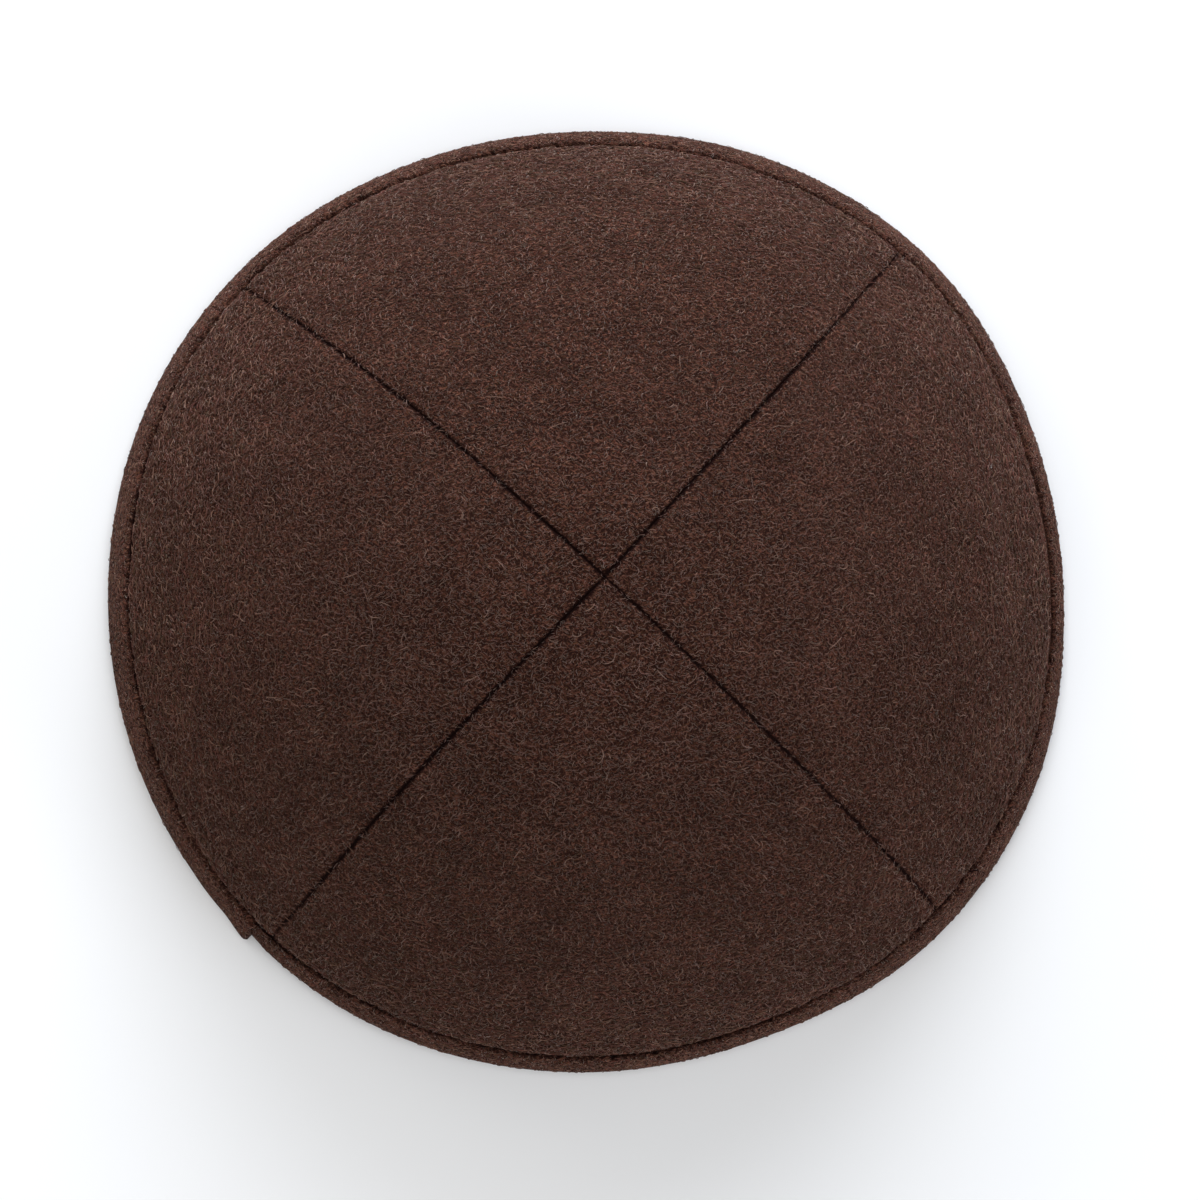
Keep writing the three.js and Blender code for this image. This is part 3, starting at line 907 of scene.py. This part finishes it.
def patches_group():
    """Soft patches over the wool, in which the colour given is a little darker or lighter."""
    group = bpy.data.node_groups.new("soft_patches", "ShaderNodeTree")
    socket = group.interface.new_socket
    socket("Color", in_out="INPUT", socket_type="NodeSocketColor")
    socket("Color", in_out="OUTPUT", socket_type="NodeSocketColor")
    entry = group.nodes.new("NodeGroupInput")
    out = group.nodes.new("NodeGroupOutput")
    join = group.links.new
    patch = add_node(group, "ShaderNodeTexNoise", Scale=PATCH_SCALE, Detail=PATCH_DETAIL)
    patch.inputs["Roughness"].default_value = PATCH_ROUGHNESS
    join(add_node(group, "ShaderNodeTexCoord").outputs["Object"], patch.inputs["Vector"])
    shade = add_node(group, "ShaderNodeHueSaturation")
    join(remap(group, patch.outputs["Fac"], *PATCH_RANGE, *PATCH_SHADE), shade.inputs["Value"])
    join(entry.outputs["Color"], shade.inputs["Color"])
    join(shade.outputs["Color"], out.inputs["Color"])
    return group


def in_patches(tree, group, colour):
    """The colour given, as the soft patches change it."""
    patches = add_node(tree, "ShaderNodeGroup", node_tree=group)
    tree.links.new(colour, patches.inputs["Color"])
    return patches.outputs["Color"]


def matt_shader(tree, roughness, gloss):
    """The material's shader, joined to its output."""
    shader = add_node(tree, "ShaderNodeBsdfPrincipled", Roughness=roughness)
    shader.inputs["Specular IOR Level"].default_value = gloss
    out = add_node(tree, "ShaderNodeOutputMaterial")
    tree.links.new(shader.outputs["BSDF"], out.inputs["Surface"])
    return shader


def add_sheen(shader, weight, tint):
    """The pale bloom of fine wool, seen along the surface."""
    shader.inputs["Sheen Weight"].default_value = weight
    shader.inputs["Sheen Roughness"].default_value = SHEEN_ROUGHNESS
    shader.inputs["Sheen Tint"].default_value = (*tint, 1)


def wool_material(name, group, patches, fineness, relief, sheen):
    """Matted wool of a panel or the band, with painted shade in the gaps of its pile and, nearly black, down
    in its creases.
    """
    material, tree = empty_material(name)
    join = tree.links.new
    mat = add_node(tree, "ShaderNodeGroup", node_tree=group)
    mat.inputs["Scale"].default_value = fineness
    on_fibres = palette(tree, mat.outputs["Tone"], FIBRE_COLOURS)
    # The gaps between the strokes take the pile's painted shade
    colour = blend(tree, mat.outputs["Cover"], PILE_SHADE_COLOUR, on_fibres)
    colour = in_patches(tree, patches, colour)
    # Painted shade down the creases, with a ragged edge
    crease_shade = add_node(tree, "ShaderNodeAttribute", attribute_name="crease_shade").outputs["Fac"]
    uneven = add_node(tree, "ShaderNodeTexNoise", Scale=RAGGED_SCALE, Detail=RAGGED_DETAIL)
    uneven.inputs["Roughness"].default_value = RAGGED_ROUGHNESS
    join(add_node(tree, "ShaderNodeTexCoord").outputs["Object"], uneven.inputs["Vector"])
    ragged = calculate(tree, "MULTIPLY_ADD", uneven.outputs["Fac"], -RAGGED_BY_NOISE, crease_shade)
    ragged = calculate(tree, "MULTIPLY_ADD", mat.outputs["Tone"], -RAGGED_BY_TONE, ragged)
    colour = blend(tree, remap(tree, ragged, *CREASE_SHADE_EDGE), colour, CREASE_SHADE_COLOUR)
    bump = add_node(tree, "ShaderNodeBump", Strength=1.0, Distance=relief)
    join(mat.outputs["Height"], bump.inputs["Height"])
    shader = matt_shader(tree, WOOL_ROUGHNESS, 0)
    add_sheen(shader, sheen, SHEEN_TINT)
    join(colour, shader.inputs["Base Color"])
    join(bump.outputs["Normal"], shader.inputs["Normal"])
    return material


def fibre_material(name, patches, sheen):
    """Single wool fibres, each with a colour of its own."""
    material, tree = empty_material(name)
    tone = add_node(tree, "ShaderNodeAttribute", attribute_name="tone").outputs["Fac"]
    shader = matt_shader(tree, FIBRE_ROUGHNESS, FIBRE_GLOSS)
    add_sheen(shader, sheen, FIBRE_TINT)
    colour = in_patches(tree, patches, palette(tree, tone, FIBRE_COLOURS))
    tree.links.new(colour, shader.inputs["Base Color"])
    return material


def plain_material(name, colour, roughness, gloss):
    """One colour all over, for the sewing thread and the floor."""
    material, tree = empty_material(name)
    matt_shader(tree, roughness, gloss).inputs["Base Color"].default_value = (*colour, 1)
    return material


# Setting

CAMERA_DISTANCE = 0.8
CAMERA_LENS = 135.7
CAMERA_SENSOR = 36
CAMERA_LEAN = (-2.88, -4.09)  # degrees from upright, towards +X and +Y
CAMERA_ROLL = 0.69
CAMERA_AIM = (1.77 * MM, -0.37 * MM)  # measured before the rim's box is centred
FLOOR_REACH = 5
FLOOR_COLOUR = (0.93, 0.93, 0.93)
FLOOR_ROUGHNESS = 0.9
FLOOR_GLOSS = 0.1
WORLD_STRENGTH = 0.54
WHITE = (1, 1, 1)
COOL = (0.95, 1, 1.08)
# Square soft lights: azimuth anticlockwise from +X, elevation, distance, size, power and colour
LIGHTS = {
    "back_light": (84, 13, 1.3, 0.9, 32, COOL),
    "right_light": (-26, 7, 1.3, 0.7, 13, COOL),
    "left_light": (132, 12, 1.3, 0.7, 7.5, WHITE),
    "front_light": (240, 18, 1.3, 0.8, 5.5, WHITE),
}


def make_camera():
    """The camera above the cap, a few degrees from upright."""
    data = bpy.data.cameras.new("camera")
    data.lens = CAMERA_LENS
    data.sensor_width = CAMERA_SENSOR
    camera = bpy.data.objects.new("camera", data)
    bpy.context.scene.collection.objects.link(camera)
    aim = Vector((*CAMERA_AIM, 0)) - Vector(RIM_MIDDLE)
    lean_x, lean_y = (math.tan(math.radians(lean)) for lean in CAMERA_LEAN)
    back = Vector((lean_x, lean_y, 1)).normalized()
    roll = math.radians(CAMERA_ROLL)
    right = Vector((-math.sin(roll), math.cos(roll), 0)).cross(back).normalized()
    up = back.cross(right)
    turned = Matrix((right, up, back)).transposed().to_4x4()
    camera.matrix_world = Matrix.Translation(aim + back * CAMERA_DISTANCE) @ turned
    bpy.context.scene.camera = camera


def soft_light(name, azimuth, elevation, distance, size, power, colour):
    """A square light that faces the origin."""
    data = bpy.data.lights.new(name, "AREA")
    data.shape = "SQUARE"
    data.size = size
    data.energy = power
    data.color = colour
    lamp = bpy.data.objects.new(name, data)
    bpy.context.scene.collection.objects.link(lamp)
    a, e = math.radians(azimuth), math.radians(elevation)
    away = Vector((math.cos(a) * math.cos(e), math.sin(a) * math.cos(e), math.sin(e)))
    lamp.location = away * distance
    lamp.rotation_euler = away.to_track_quat("Z", "Y").to_euler()


def make_floor():
    """A plain pale floor, which isn't part of the cap."""
    bm = bmesh.new()
    bmesh.ops.create_grid(bm, x_segments=1, y_segments=1, size=FLOOR_REACH)
    mesh = bpy.data.meshes.new("floor")
    bm.to_mesh(mesh)
    bm.free()
    floor = link("floor", mesh)
    mesh.materials.append(plain_material("pale_floor", FLOOR_COLOUR, FLOOR_ROUGHNESS, FLOOR_GLOSS))


def make_world():
    """An even white light from all round."""
    world = bpy.data.worlds.new("studio")
    world.use_nodes = True
    background = world.node_tree.nodes["Background"]
    background.inputs["Color"].default_value = (*WHITE, 1)
    background.inputs["Strength"].default_value = WORLD_STRENGTH
    bpy.context.scene.world = world


make_camera()
make_floor()
make_world()
for name, light in LIGHTS.items():
    soft_light(name, *light)
bpy.context.scene.view_settings.view_transform = "Standard"

matted = matted_group()
patches = patches_group()
crown_wool = wool_material("crown_wool", matted, patches, CROWN_FINENESS, relief=0.25 * MM, sheen=0.03)
band_wool = wool_material("band_wool", matted, patches, BAND_FINENESS, relief=0.15 * MM, sheen=0.2)
crown_fibres = fibre_material("crown_fibres", patches, sheen=0.42)
edge_fibres = fibre_material("band_fibres", patches, sheen=0.75)
thread = plain_material("sewing_thread", THREAD_COLOUR, WOOL_ROUGHNESS, THREAD_GLOSS)

rng = np.random.default_rng(SEED)
for panel in PANELS:
    finish_piece(crown_panel(panel), crown_wool, "wool_crown", panel)
    finish_piece(panel_fibres(panel, rng), crown_fibres, "wool_crown")
finish_piece(rim_band(), band_wool, "wool_band", "rim_band")
finish_piece(band_fibres(rng), edge_fibres, "wool_band")
finish_piece(thread_end(), thread, "wool_band")
